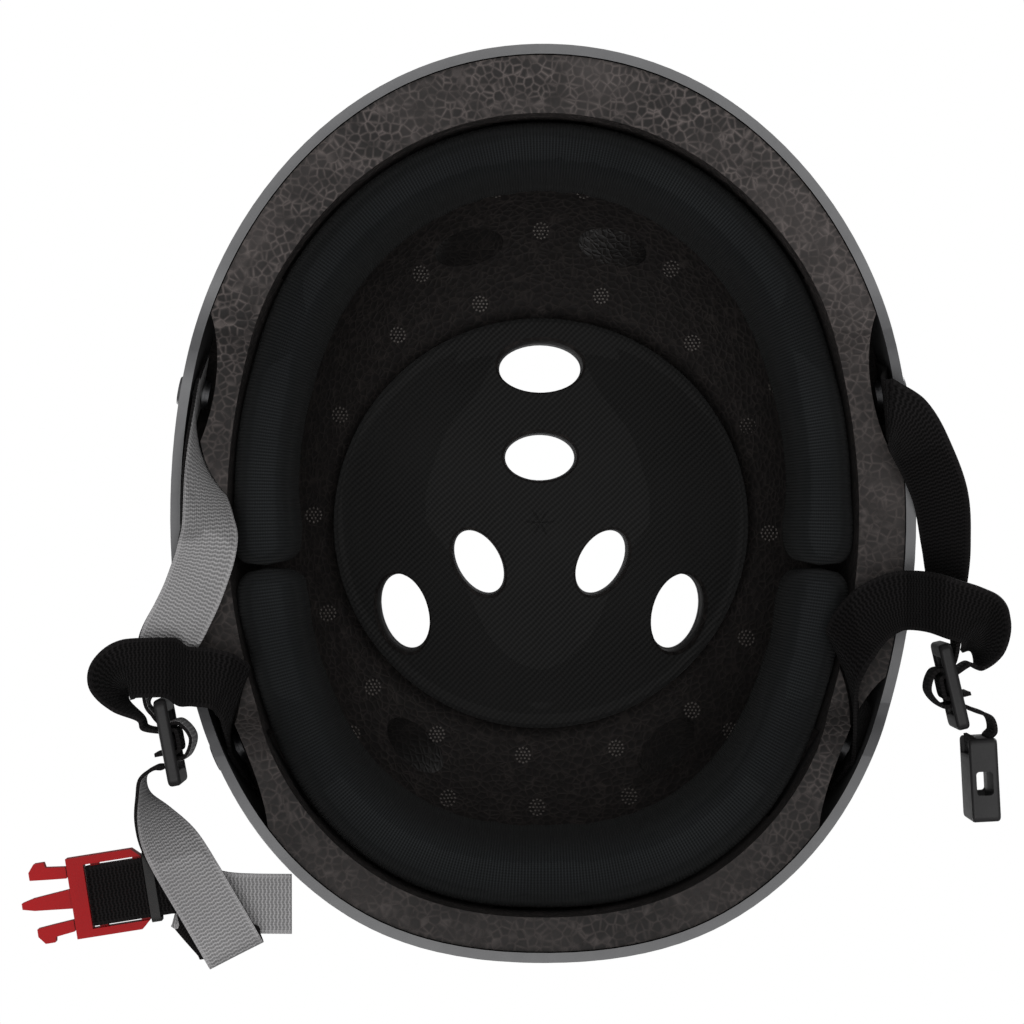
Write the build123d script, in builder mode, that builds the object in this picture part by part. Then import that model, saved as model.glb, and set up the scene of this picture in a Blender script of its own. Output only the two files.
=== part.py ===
from build123d import *
import math
import os

# A skateboard helmet, crown up, standing on the rim of its shell.
# Millimetres. The brow faces -Y, the nape +Y, and +X is the wearer's left.
# The origin lies under the middle of the head opening, on the plane that the rim stands on.

os.makedirs("parts", exist_ok=True)

overrun = 4.0          # how far every cut runs past the surface that it opens
seat_clearance = 0.3   # the gap between a soft or foam piece and what it sits in

# Hard shell
shell_half_width = 113.5
shell_front = 137.0
shell_rear = 142.5
shell_height = 160.0
shell_wall = 3.0
widest_level = 38.0    # height of the widest line above the rim
rim_tuck_share = 0.02  # how much narrower the rim is than the widest line
widest_place = -2.3    # where along Y the helmet is widest
brow_power = 2.05
nape_power = 2.35
crown_power = 2.25
ear_arch = 16.0
ear_arch_front = 74.0
ear_arch_rear = 98.0
ear_arch_ease = 34.0

# Foam liner
liner_side = 96.0
liner_front = 114.0
liner_rear = 126.5
liner_top = 134.0
liner_power = 2.5
liner_setback = 1.6    # how far the foam's rim sits above the shell's rim
recess_depth = 8.0
recess_height = 52.0
front_recess_length = 52.0
rear_recess_length = 58.0

# Vents, through shell and foam
vent_depth = 50.0
foam_vent_margin = 0.5
pad_vent_margin = 1.2

# Comfort pads round the brow and the nape
pad_thickness = 19.5
pad_height = 43.0
pad_start = 3.0        # height of the pads' lower edge above the foam's rim at the brow
nape_fullness_share = 1.22   # how much thicker the pads are at the nape than at the sides
pad_joint_place = 20.0
pad_joint_gap = 0.8
cover_thickness = 1.2

# Crown pad
crown_pad_diameter = 135.0
crown_pad_thickness = 8.0
crown_pad_place = 6.5
crown_face_thickness = 1.2

# Hook patches under the pads
patch_width = 16.0
patch_length = 30.0
patch_thickness = 1.0
patch_sink = 0.7         # how far a patch's face lies behind the foam's surface

# Webbing
webbing_width = 18.0
webbing_thickness = 1.3
harness_span = 100.0   # the reach of each side's webbing, which its routes are shares of
hinge_inset = 3.8      # from the inner face of the shell's rim to the line where the webbing bends
hinge_gap = 0.95
strap_standoff = 1.35  # a leaning strap stays flat while the wall behind it curves
strap_stub = 7.0       # the webbing above its rivet
channel_clearance = 0.8

# Strap rivets
rivet_head = 10.0
rivet_head_height = 1.2
rivet_head_taper = 35     # degrees
rivet_shank = 4.0
rivet_clearance = 0.15
washer_clearance = 0.6   # the wall's curve lifts the strap's edges towards the washer
washer_diameter = 9.0
washer_thickness = 0.8

# Ladder sliders
slider_bar = 4.4
slider_slot = 6.6
slider_thickness = 4.0
slider_wall = 2.6
slot_clearance = 0.7
slider_round = 1.2

# Side-release buckle
buckle_width = 24.0
buckle_thickness = 8.6
plug_frame_length = 14.0
plug_bar = 2.6
plug_rail = 2.4
plug_body_length = 5.0
plug_thickness = 6.4
prong_length = 15.0
prong_width = 3.4
prong_thickness = 4.2
guide_width = 3.6
latch_gap = 0.4
latch_barb = 1.6
socket_length = 25.0
socket_wall = 1.8
socket_mouth_depth = 17.0
socket_bar = 3.0
buckle_round = 1.0

# Webbing keeper
keeper_length = 2.8
keeper_wall = 1.0
keeper_clearance = 0.6


def plan_outline(half_width, front, rear):
    """Points of an egg-shaped plan outline, round at the brow and squarer at the nape."""
    count = 16
    outline = []
    for index in range(count):
        turn = 2 * math.pi * index / count
        across, along = math.cos(turn), math.sin(turn)
        power = nape_power if along > 0 else brow_power
        length = rear if along > 0 else front
        x = half_width * math.copysign(abs(across) ** (2 / power), across)
        y = length * math.copysign(abs(along) ** (2 / power), along)
        outline.append((x, widest_place + y))
    return outline


def dome(half_width, front, rear, top, power, foot, tuck_share=0):
    """A closed crown shape on egg-shaped plans, from the foot up to the top."""
    waist = widest_level if tuck_share else 0
    rows = [(foot, 1 - tuck_share * ((waist - foot) / widest_level) ** 2)]
    if tuck_share:
        rows.append((waist / 2, 1 - tuck_share / 4))
    rows.append((waist, 1))
    for climb_share in (0.3, 0.58, 0.8, 0.93, 0.985, 0.9995):
        level = waist + (top - waist) * climb_share
        rows.append((level, (1 - climb_share ** power) ** (1 / power)))
    with BuildPart() as body:
        for level, share in rows:
            with BuildSketch(Plane.XY.offset(level)):
                with BuildLine():
                    Spline(*plan_outline(half_width * share, front * share, rear * share), periodic=True)
                make_face()
        loft()
    return body.part


def shell_dome(inset, foot):
    """The shell's outer surface, moved inwards by the inset."""
    return dome(shell_half_width - inset, shell_front - inset, shell_rear - inset,
                shell_height - inset, crown_power, foot, rim_tuck_share)


def cavity_dome(inset, foot):
    """The foam's inner surface, moved inwards by the inset."""
    return dome(liner_side - inset, liner_front - inset, liner_rear - inset,
                liner_top - inset, liner_power, foot)


def rim_cutter(rise):
    """All that lies below a rim which is flat at brow and nape and arches over the ears."""
    reach = shell_half_width + overrun
    floor = -shell_wall * 2 - overrun
    with BuildPart() as cutter:
        with BuildSketch(Plane.YZ.offset(-reach)):
            with BuildLine():
                Polyline((-ear_arch_front, rise), (-shell_front - overrun, rise),
                         (-shell_front - overrun, floor - overrun), (shell_rear + overrun, floor - overrun),
                         (shell_rear + overrun, rise), (ear_arch_rear, rise))
                Spline((-ear_arch_front, rise), (-ear_arch_front + ear_arch_ease, rise + ear_arch * 0.93),
                       (0, rise + ear_arch), (ear_arch_rear - ear_arch_ease, rise + ear_arch * 0.93),
                       (ear_arch_rear, rise), tangents=((1, 0), (1, 0)))
            make_face()
        extrude(amount=2 * reach)
    return cutter.part


def dome_place(x, y, half_width, front, rear, top, crown, waist=0):
    """The point of a crown shape's surface above a plan place, and the way out of it."""
    length = rear if y > widest_place else front
    power = nape_power if y > widest_place else brow_power
    across, along = abs(x) / half_width, abs(y - widest_place) / length
    ring = across ** power + along ** power
    climb = (1 - ring ** (crown / power)) ** (1 / crown)
    swell = crown * ring ** (crown / power - 1)
    out = Vector(math.copysign(swell * across ** (power - 1) / half_width, x),
                 math.copysign(swell * along ** (power - 1) / length, y - widest_place),
                 crown * climb ** (crown - 1) / (top - waist))
    return Vector(x, y, waist + (top - waist) * climb), out.normalized()


def shell_place(x, y):
    return dome_place(x, y, shell_half_width, shell_front, shell_rear, shell_height, crown_power,
                      widest_level)


def cavity_place(x, y):
    return dome_place(x, y, liner_side, liner_front, liner_rear, liner_top, liner_power)


# Vents. Those in the crown run straight up: place, length and width as shares of the vent span, and turn in
# degrees from across. Those nearer the brow and nape run square to the shell, and their places are shares of
# its half width and length.
vent_span = 100.0
crown_vent_rows = [
    (0, -0.454, 0.275, 0.162, 0), (0, -0.155, 0.235, 0.154, 0),
    (-0.206, 0.198, 0.23, 0.142, 60), (0.206, 0.198, 0.23, 0.142, -60),
    (-0.453, 0.363, 0.255, 0.152, 74), (0.453, 0.363, 0.255, 0.152, -74),
]
low_vent_long = 22.0
low_vent_short = 15.0
low_vent_rows = [(-0.28, -0.745, 0), (0.28, -0.745, 0), (-0.46, 0.66, 40), (0.46, 0.66, -40)]


def crown_vent_cutter(margin):
    """Oval plugs straight up through the crown vents."""
    with BuildPart() as cutter:
        with BuildSketch(Plane.XY.offset(widest_level)):
            for x_share, y_share, long_share, short_share, turn in crown_vent_rows:
                with Locations((x_share * vent_span, y_share * vent_span)):
                    Ellipse(long_share * vent_span / 2 + margin, short_share * vent_span / 2 + margin,
                            rotation=turn)
        extrude(amount=shell_height)
    return cutter.part


def low_vent_cutter(margin, depth):
    """Oval plugs square to the shell through the vents nearer the brow and nape."""
    with BuildPart() as cutter:
        for x_share, y_share, turn in low_vent_rows:
            along = shell_rear if y_share > 0 else shell_front
            spot, out = shell_place(x_share * shell_half_width, y_share * along)
            sideways = Vector(1, 0, 0)
            plane = Plane(origin=spot + out * overrun, x_dir=sideways - out * sideways.dot(out), z_dir=out)
            with BuildSketch(plane):
                Ellipse(low_vent_long / 2 + margin, low_vent_short / 2 + margin, rotation=turn)
            extrude(amount=-depth)
    return cutter.part


# Outer shell
rivet_level = 37.0
front_rivet_share = 0.25
rear_rivet_share = 0.55
right_front_rivet = -front_rivet_share * shell_front
right_rear_rivet = rear_rivet_share * shell_rear
left_front_rivet = right_front_rivet
left_rear_rivet = right_rear_rivet
rivet_rows = [(-1, right_front_rivet), (-1, right_rear_rivet), (1, left_front_rivet), (1, left_rear_rivet)]


def wall_place(side, y, inset, level=rivet_level):
    """The point of the shell's side wall at a level below its waist, moved inwards, and the way out of it."""
    tuck = 1 - rim_tuck_share * ((widest_level - level) / widest_level) ** 2
    half_width = (shell_half_width - inset) * tuck
    length = ((shell_rear if y > widest_place else shell_front) - inset) * tuck
    power = nape_power if y > widest_place else brow_power
    along = abs(y - widest_place) / length
    x = half_width * (1 - along ** power) ** (1 / power)
    out = Vector(side * (x / half_width) ** (power - 1) / half_width,
                 math.copysign(along ** (power - 1) / length, y - widest_place), 0)
    return Vector(side * x, y, level), out.normalized()


def rivet_plane(side, y, inset):
    spot, out = wall_place(side, y, inset)
    return Plane(origin=spot, x_dir=Vector(0, 0, 1).cross(out), z_dir=out)


shell_solid = shell_dome(0, -shell_wall - overrun) - shell_dome(shell_wall, -shell_wall * 2 - overrun)
with BuildPart() as outer_shell:
    add(shell_solid)
    add(rim_cutter(0), mode=Mode.SUBTRACT)
    add(crown_vent_cutter(0), mode=Mode.SUBTRACT)
    add(low_vent_cutter(0, vent_depth), mode=Mode.SUBTRACT)
    for side, y in rivet_rows:
        with BuildSketch(rivet_plane(side, y, 0)):
            Circle(rivet_shank / 2 + rivet_clearance)
        extrude(amount=shell_wall + overrun, both=True, mode=Mode.SUBTRACT)
outer_shell.part.label = "outer_shell"
export_step(outer_shell.part, "parts/outer_shell.step")


# Webbing: a route is a list of places and of the way that the webbing's width lies there.
# Places are shares of the harness span: outwards from the hinge line, along Y, and up.
hinge_line = shell_half_width * (1 - rim_tuck_share) - shell_wall - hinge_inset
fold_gap = 0.35        # the gap between webbing and what it goes round
layer_pitch = webbing_thickness + fold_gap


def harness_place(side, out_share, along_share, up_share=0):
    return Vector(side * (hinge_line + out_share * harness_span),
                  along_share * harness_span, up_share * harness_span)


def route_rows(side, rows):
    """A route's places and width directions on one side of the helmet."""
    return [(harness_place(side, out_share, along_share, up_share),
             Vector(side * across[0], across[1], across[2]))
            for out_share, along_share, up_share, across in rows]


def smooth_rows(rows, steps):
    """The rows with more between them, on a smooth curve through them all."""
    smooth = []
    for index in range(len(rows) - 1):
        near = [rows[min(max(index + step, 0), len(rows) - 1)] for step in (-1, 0, 1, 2)]
        for step in range(steps):
            t = step / steps
            weights = ((-t + 2 * t ** 2 - t ** 3) / 2, (2 - 5 * t ** 2 + 3 * t ** 3) / 2,
                       (t + 4 * t ** 2 - 3 * t ** 3) / 2, (t ** 3 - t ** 2) / 2)
            smooth.append([sum((row[kind] * weight for row, weight in zip(near, weights)), Vector(0, 0, 0))
                           for kind in (0, 1)])
    smooth.append(rows[-1])
    return smooth


def stations_of(rows, steps=3):
    """Places along a smooth route, each with the way across and the way along."""
    smooth = smooth_rows(rows, steps)
    stations = []
    for index, (place, across) in enumerate(smooth):
        ahead = smooth[min(index + 1, len(smooth) - 1)][0]
        behind = smooth[max(index - 1, 0)][0]
        stations.append((place, across.normalized(), (ahead - behind).normalized()))
    return stations


def webbing(stations, width=webbing_width, thickness=webbing_thickness):
    """A flat band through the stations, its width square to the route or, at a fold, along the fold."""
    with BuildPart() as band:
        for place, across, along in stations:
            face_way = along.cross(across)
            with BuildSketch(Plane(origin=place, x_dir=across, z_dir=across.cross(face_way.normalized()))):
                Rectangle(width / face_way.length, thickness)
        loft(ruled=True)
    return band.part


def anchored_rows(side, rivet_y, lean, run):
    """The first rows of a strap, down the inside of the shell's wall from above its rivet."""
    inset = shell_wall + strap_standoff + webbing_thickness / 2
    lean_sine, lean_cosine = math.sin(math.radians(lean)), math.cos(math.radians(lean))
    rows = []
    for step in (-strap_stub, 0, run / 2, run):
        spot, out = wall_place(side, rivet_y + step * lean_sine, inset, rivet_level - step * lean_cosine)
        down = Vector(-out.Y, out.X, 0) * side * lean_sine - Vector(0, 0, lean_cosine)
        rows.append((spot, down.cross(out)))
    return rows


def slider_frame(side, out_share, along_share, lean):
    """A slider's middle bar: its centre, the way along the slider and the way towards the helmet."""
    centre = harness_place(side, out_share, along_share, side_level_share)
    along = Vector(math.sin(math.radians(lean)), math.cos(math.radians(lean)), 0)
    inwards = Vector(-side * along.Y, side * along.X, 0)
    return centre, along, inwards


def slider_rows(frame, up, places):
    centre, along, inwards = frame
    return [(centre + along * u + inwards * v, Vector(0, 0, up)) for u, v in places]


side_level_share = 0.125
loop_bulge = 7.0
close = slider_bar / 2 + fold_gap + webbing_thickness / 2
beside = slider_thickness / 2 + fold_gap + webbing_thickness / 2
loose = close + layer_pitch + fold_gap
slot_end = slider_bar / 2 + slider_slot
corner_along = slider_bar / 2 + (close - slider_bar / 2) * 0.75
corner_out = slider_thickness / 2 + (beside - slider_thickness / 2) * 0.75
threaded_loop = [(-slot_end - slider_bar, -beside - layer_pitch), (-slot_end, -beside),
                 (-loose - webbing_thickness, -beside * 0.55), (-loose, 0), (-loose, loop_bulge * 0.6),
                 (0, loop_bulge), (loose, loop_bulge * 0.6), (loose, fold_gap)]
sewn_loop = [(-loose, -beside - layer_pitch * 2.2), (-close, -slider_thickness / 4),
             (-close, slider_thickness / 4), (-corner_along, corner_out), (0, beside),
             (corner_along, corner_out), (close, slider_thickness / 4),
             (close, -slider_thickness / 4), (close, -beside - layer_pitch)]
slot_exit = [(loose + fold_gap / 2, -webbing_thickness * 0.4), (loose + beside * 0.7, -beside)]
right_slider_frame = slider_frame(-1, 0.08, 0.72, 10.7)
left_slider_frame = slider_frame(1, 0.183, 0.552, 13)

right_front_route = [
    (-0.03, 0.02, 0.098, (-0.75, 0, 0.66)), (-0.035, 0.13, 0.078, (-1, 0.05, 0.1)),
    (0, 0.25, 0.07, (-0.92, 0.38, 0)), (0.04, 0.34, 0.07, (-0.9, 0.45, 0)),
    (0.085, 0.42, 0.09, (-0.85, 0.4, 0.3)), (0.117, 0.495, 0.125, (-0.5, 0.2, 0.85)),
]
right_rear_route = [
    (-0.12, 0.6, 0.125, (0.35, 0.9, -0.25)), (-0.09, 0.55, 0.085, (0.3, 0.95, 0)),
    (-0.045, 0.53, 0.072, (0, 1, 0)), (0, 0.525, 0.07, (0, 1, 0)), (0.035, 0.52, 0.063, (0, 1, 0)),
    (0.08, 0.497, 0.03, (0, 1, 0)), (0.135, 0.495, 0.012, (0, 1, 0)),
    (0.195, 0.5, 0.02, (-0.1, 1, 0.15)), (0.238, 0.525, 0.06, (-0.56, 0.56, 0.6)),
    (0.253, 0.565, 0.1, (-0.5, 0, 0.87)), (0.23, 0.612, 0.115, (-0.15, -0.1, 0.98)),
    (0.17, 0.652, 0.12, (0, 0, 1)),
]
right_chin_route = [
    (0.125, 0.8, 0.12, (0, 0, 1)), (0.163, 0.83, 0.118, (0, 0, 1)),
    (0.16, 0.885, 0.108, (-0.12, 0, 1)), (0.122, 0.955, 0.07, (-0.5, -0.25, 0.84)),
    (0.055, 1.045, 0.012, (-0.82, -0.45, 0.32)), (-0.02, 1.165, -0.004, (-0.87, -0.49, 0.03)),
    (-0.09, 1.285, -0.002, (-0.884, -0.467, 0)), (-0.114, 1.328, 0.002, (-0.894, -0.447, 0)),
    (-0.126, 1.352, 0.02, (-0.894, -0.447, 0)), (-0.114, 1.328, 0.037, (-0.894, -0.447, 0)),
    (-0.085, 1.305, 0.037, (-0.82, -0.57, 0)), (-0.035, 1.25, 0.037, (-0.66, -0.75, 0)),
    (0.02, 1.185, 0.034, (-0.45, -0.9, 0)),
]
right_tail_route = [
    (0.01, 1.17, 0.068, (-0.05, -1, 0)), (-0.1, 1.2, 0.06, (0, -1, 0)), (-0.29, 1.205, 0.056, (0, -1, 0)),
]
left_front_route = [
    (-0.012, -0.285, 0.13, (-0.1, -1, 0)), (0, -0.27, 0.073, (0.05, -1, 0)),
    (0.045, -0.235, 0.07, (0.55, -0.83, -0.1)), (0.095, -0.155, 0.088, (0.8, -0.5, -0.35)),
    (0.15, -0.02, 0.1, (0.8, -0.25, -0.5)), (0.172, 0.13, 0.13, (0.7, -0.15, -0.7)),
    (0.18, 0.25, 0.155, (0.5, -0.05, -0.85)), (0.189, 0.33, 0.155, (0.15, 0, -0.99)),
]
left_rear_route = [
    (-0.13, 0.5, 0.13, (-0.3, -0.65, 0.7)), (-0.115, 0.415, 0.1, (-0.75, -0.5, 0.4)),
    (-0.06, 0.34, 0.075, (-0.6, -0.8, 0.1)),
    (0, 0.305, 0.07, (-0.25, -0.97, 0)), (0.05, 0.295, 0.065, (0, -1, 0)), (0.11, 0.3, 0.01, (0, -1, 0)),
    (0.175, 0.32, -0.015, (0.1, -1, -0.1)), (0.245, 0.345, -0.005, (0.4, -0.85, -0.3)),
    (0.28, 0.395, 0.045, (0.5, -0.45, -0.7)), (0.29, 0.45, 0.09, (0.3, 0, -0.95)),
    (0.268, 0.498, 0.12, (0, 0, -1)),
]
left_chin_route = [(0.25, 0.625, 0.12, (0, 0, -1)), (0.298, 0.645, 0.12, (0, 0, -1)),
                   (0.31, 0.685, 0.12, (0, 0, -1))]


# Buckle frames: the webbing bar's centre, the way towards the prongs or the mouth, and the way across
plug_lean = 9
plug_centre = harness_place(-1, 0.285, 1.175, 0.05)
plug_along = Vector(-math.cos(math.radians(plug_lean)), math.sin(math.radians(plug_lean)), 0)
plug_across = Vector(plug_along.Y, -plug_along.X, 0)
bar_wrap = plug_bar / 2 + fold_gap + webbing_thickness / 2
keeper_reach = plug_frame_length + 2 * keeper_length
wrap_shares = [(-3, -1), (-1, -1), (0, -1), (0.88, -0.82), (1.1, 0), (0.88, 0.82), (0, 1), (-1, 1), (-3, 1)]
wrap_places = ([(-keeper_reach - webbing_width / 6, -bar_wrap), (-keeper_reach, -bar_wrap)]
               + [(u * bar_wrap, level * bar_wrap) for u, level in wrap_shares]
               + [(-keeper_reach, bar_wrap), (-keeper_reach - webbing_width / 6, bar_wrap)])
plug_wrap = [(plug_centre + plug_along * u + Vector(0, 0, level), plug_across * -1)
             for u, level in wrap_places]

socket_lean = 3
socket_centre = harness_place(1, 0.268, 0.722, side_level_share)
socket_along = Vector(math.sin(math.radians(socket_lean)), math.cos(math.radians(socket_lean)), 0)
socket_inwards = Vector(-socket_along.Y, socket_along.X, 0)
socket_wrap = socket_bar / 2 + fold_gap + webbing_thickness / 2
socket_rows = [(socket_centre + socket_along * u * socket_wrap + socket_inwards * v * socket_wrap,
                Vector(0, 0, -1))
               for u, v in ((-0.6, -1.15), (0.1, -1.05), (0.95, -0.85), (1.1, 0), (0.95, 0.85), (0.1, 1.05),
                            (-0.9, 1.1))]


def strap_parts(rows, hinge_row, steps=3):
    """The end held by the helmet, the free end beyond the bend, and the room the foam leaves for both."""
    stations = stations_of(rows, steps)
    bend = hinge_row * steps
    place, across, along = stations[bend]
    last = (place - along * hinge_gap, across, along)
    held = [station for station in stations[:bend] if (station[0] - place).length > hinge_gap * 2] + [last]
    channel = webbing(stations[:bend + steps + 1], webbing_width + 2 * channel_clearance,
                      webbing_thickness + 2 * channel_clearance)
    return webbing(held), webbing(stations[bend:]), channel


rivet_lean = 35
held_parts = {}
free_parts = {}
strap_channels = []
strap_rows = {
    "right_front": (6, anchored_rows(-1, right_front_rivet, rivet_lean, 14)
                    + route_rows(-1, right_front_route)
                    + slider_rows(right_slider_frame, 1, threaded_loop)),
    "right_rear": (7, anchored_rows(-1, right_rear_rivet, -rivet_lean, 14) + route_rows(-1, right_rear_route)
                   + slider_rows(right_slider_frame, 1, sewn_loop)),
    "left_front": (5, anchored_rows(1, left_front_rivet, 10, 12) + route_rows(1, left_front_route)
                   + slider_rows(left_slider_frame, -1, threaded_loop)),
    "left_rear": (7, anchored_rows(1, left_rear_rivet, -rivet_lean, 14) + route_rows(1, left_rear_route)
                  + slider_rows(left_slider_frame, -1, sewn_loop)),
}
for name, (hinge_row, rows) in strap_rows.items():
    held_parts[name], free_parts[name], channel = strap_parts(rows, hinge_row)
    strap_channels.append(channel)
right_chin = webbing(stations_of(slider_rows(right_slider_frame, 1, slot_exit)
                     + route_rows(-1, right_chin_route) + plug_wrap + route_rows(-1, right_tail_route)))
left_chin = webbing(stations_of(slider_rows(left_slider_frame, -1, slot_exit)
                    + route_rows(1, left_chin_route) + socket_rows))



# Foam liner
recess_rows = [(-1, right_front_rivet, front_recess_length), (-1, right_rear_rivet, rear_recess_length),
               (1, left_front_rivet, front_recess_length), (1, left_rear_rivet, rear_recess_length)]
patch_level = 26.0
patch_turns = (-90, -48, -132, 90, 48, 132)   # degrees round from the wearer's left
crown_patch_reach = 45.0
crown_patch_shares = [(0.4, 0.92), (-0.4, 0.92), (-0.71, -0.71), (0.71, -0.71)]


def patch_planes():
    """Planes on the foam's inner surface for the patches under the pads, and under the crown pad."""
    ring_planes, crown_planes = [], []
    climb = (1 - (patch_level / liner_top) ** liner_power) ** (1 / liner_power)
    for turn in patch_turns:
        length = liner_rear if turn > 0 else liner_front
        power = nape_power if turn > 0 else brow_power
        across, along = math.cos(math.radians(turn)), math.sin(math.radians(turn))
        reach = climb * (abs(across / liner_side) ** power + abs(along / length) ** power) ** (-1 / power)
        out = Vector(math.copysign(abs(across * reach / liner_side) ** (power - 1) / liner_side, across),
                     math.copysign(abs(along * reach / length) ** (power - 1) / length, along),
                     0).normalized()
        spot = Vector(across * reach, widest_place + along * reach, patch_level)
        ring_planes.append(Plane(origin=spot + out * patch_sink, x_dir=Vector(-out.Y, out.X, 0), z_dir=out))
    for x_share, y_share in crown_patch_shares:
        spot, out = cavity_place(x_share * crown_patch_reach, crown_pad_place + y_share * crown_patch_reach)
        way = Vector(-y_share, x_share, 0)
        crown_planes.append(Plane(origin=spot, x_dir=way - out * way.dot(out), z_dir=out))
    return ring_planes, crown_planes


ring_planes, crown_planes = patch_planes()
with BuildPart() as patch_pockets:
    for plane in ring_planes + crown_planes:
        with BuildSketch(plane):
            Rectangle(patch_length + 2 * seat_clearance, patch_width + 2 * seat_clearance)
        extrude(amount=-pad_thickness)
        with BuildSketch(plane):
            Rectangle(patch_length + 2 * seat_clearance, patch_width + 2 * seat_clearance)
        extrude(amount=patch_thickness + seat_clearance)
for name, planes in (("ring_hook_patches", ring_planes), ("crown_hook_patches", crown_planes)):
    with BuildPart() as patches:
        for plane in planes:
            with BuildSketch(plane):
                Rectangle(patch_length, patch_width)
            extrude(amount=patch_thickness)
    patches.part.label = name
    export_step(patches.part, "parts/" + name + ".step")

with BuildPart() as foam_liner:
    add(shell_dome(shell_wall + seat_clearance, -shell_wall))
    add(cavity_dome(0, -shell_wall - overrun), mode=Mode.SUBTRACT)
    add(rim_cutter(liner_setback), mode=Mode.SUBTRACT)
    for side, y, length in recess_rows:
        spot, out = wall_place(side, y, shell_wall)
        foot = Plane(origin=(spot.X, spot.Y, -overrun), x_dir=Vector(-out.Y, out.X, 0), z_dir=(0, 0, 1))
        with BuildSketch(foot):
            Ellipse(length / 2, recess_depth)
        extrude(amount=recess_height + overrun, mode=Mode.SUBTRACT)
    add(crown_vent_cutter(foam_vent_margin), mode=Mode.SUBTRACT)
    add(low_vent_cutter(foam_vent_margin, vent_depth), mode=Mode.SUBTRACT)
    add(patch_pockets.part, mode=Mode.SUBTRACT)
    for channel in strap_channels:
        add(channel, mode=Mode.SUBTRACT)
foam_liner.part.label = "foam_liner"
export_step(foam_liner.part, "parts/foam_liner.step")


# Comfort pads
pad_foot = liner_setback + pad_start
pad_fullness_shares = [(0, 0.5), (0.1, 0.8), (0.28, 0.96), (0.5, 1), (0.72, 0.96), (0.9, 0.8), (1, 0.5)]


def pad_ring(inset):
    """The ring that both pads are cut from, crowned towards the head, moved inwards by the inset."""
    with BuildPart() as head:
        for rise_share, fullness_share in pad_fullness_shares:
            level = pad_foot + pad_height * rise_share
            climb = (1 - (level / liner_top) ** liner_power) ** (1 / liner_power)
            depth = pad_thickness * fullness_share - inset
            with BuildSketch(Plane.XY.offset(level)):
                with BuildLine():
                    Spline(*plan_outline(liner_side * climb - depth, liner_front * climb - depth,
                                         liner_rear * climb - depth * nape_fullness_share), periodic=True)
                make_face()
        loft()
    with BuildPart() as ring:
        add(cavity_dome(seat_clearance + inset, -overrun))
        add(head.part, mode=Mode.SUBTRACT)
        split(bisect_by=Plane.XY.offset(pad_foot + inset), keep=Keep.TOP)
        split(bisect_by=Plane.XY.offset(pad_foot + pad_height - inset), keep=Keep.BOTTOM)
        add(rim_cutter(pad_foot + inset), mode=Mode.SUBTRACT)
    return ring.part


def half_ring(ring, end, keep):
    """The stretch of the ring before or behind its joint."""
    with BuildPart() as half:
        add(ring)
        split(bisect_by=Plane.XZ.offset(-end), keep=keep)
    return half.part


cover_ring = pad_ring(0)
core_ring = pad_ring(cover_thickness)
front_end = pad_joint_place - pad_joint_gap / 2
rear_end = pad_joint_place + pad_joint_gap / 2
for name, end, step, keep in (("front_pad", front_end, -cover_thickness, Keep.TOP),
                              ("rear_pad", rear_end, cover_thickness, Keep.BOTTOM)):
    core = half_ring(core_ring, end + step, keep)
    core.label = name + "_foam"
    export_step(core, "parts/" + name + "_foam.step")
    with BuildPart() as cover:
        add(half_ring(cover_ring, end, keep))
        add(core, mode=Mode.SUBTRACT)
    cover.part.label = name + "_cover"
    export_step(cover.part, "parts/" + name + "_cover.step")


# Crown pad: foam under a knit face
pad_vents = crown_vent_cutter(pad_vent_margin)
face_start = crown_pad_thickness - crown_face_thickness
for name, top, bottom in (("crown_pad_foam", seat_clearance, face_start),
                          ("crown_pad_face", face_start, crown_pad_thickness)):
    with BuildPart() as layer:
        with BuildSketch(Plane.XY.offset(widest_level)):
            with Locations((0, crown_pad_place)):
                Circle(crown_pad_diameter / 2)
        extrude(amount=shell_height)
        add(cavity_dome(top, -overrun), mode=Mode.INTERSECT)
        add(cavity_dome(bottom, -overrun * 2), mode=Mode.SUBTRACT)
        add(pad_vents, mode=Mode.SUBTRACT)
    layer.part.label = name
    export_step(layer.part, "parts/" + name + ".step")


# Strap rivets, each through the shell, a strap end and a washer
stack_strap = shell_wall + strap_standoff
stack_washer = stack_strap + webbing_thickness + washer_clearance
stack_clinch = stack_washer + washer_thickness
with BuildPart() as strap_rivets:
    for side, y in rivet_rows:
        base = rivet_plane(side, y, 0)
        with BuildSketch(base.offset(rivet_clearance)):
            Circle(rivet_head / 2)
        extrude(amount=rivet_head_height, taper=rivet_head_taper)
        with BuildSketch(base.offset(rivet_clearance)):
            Circle(rivet_shank / 2)
        extrude(amount=-stack_clinch - rivet_clearance)
        with BuildSketch(base.offset(-stack_clinch)):
            Circle(rivet_shank)
        extrude(amount=-rivet_head_height)
strap_rivets.part.label = "strap_rivets"
export_step(strap_rivets.part, "parts/strap_rivets.step")
with BuildPart() as rivet_washers:
    for side, y in rivet_rows:
        with BuildSketch(rivet_plane(side, y, 0).offset(-stack_washer)):
            Circle(washer_diameter / 2)
            Circle(rivet_shank / 2 + rivet_clearance, mode=Mode.SUBTRACT)
        extrude(amount=-washer_thickness)
rivet_washers.part.label = "rivet_washers"
export_step(rivet_washers.part, "parts/rivet_washers.step")


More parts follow.
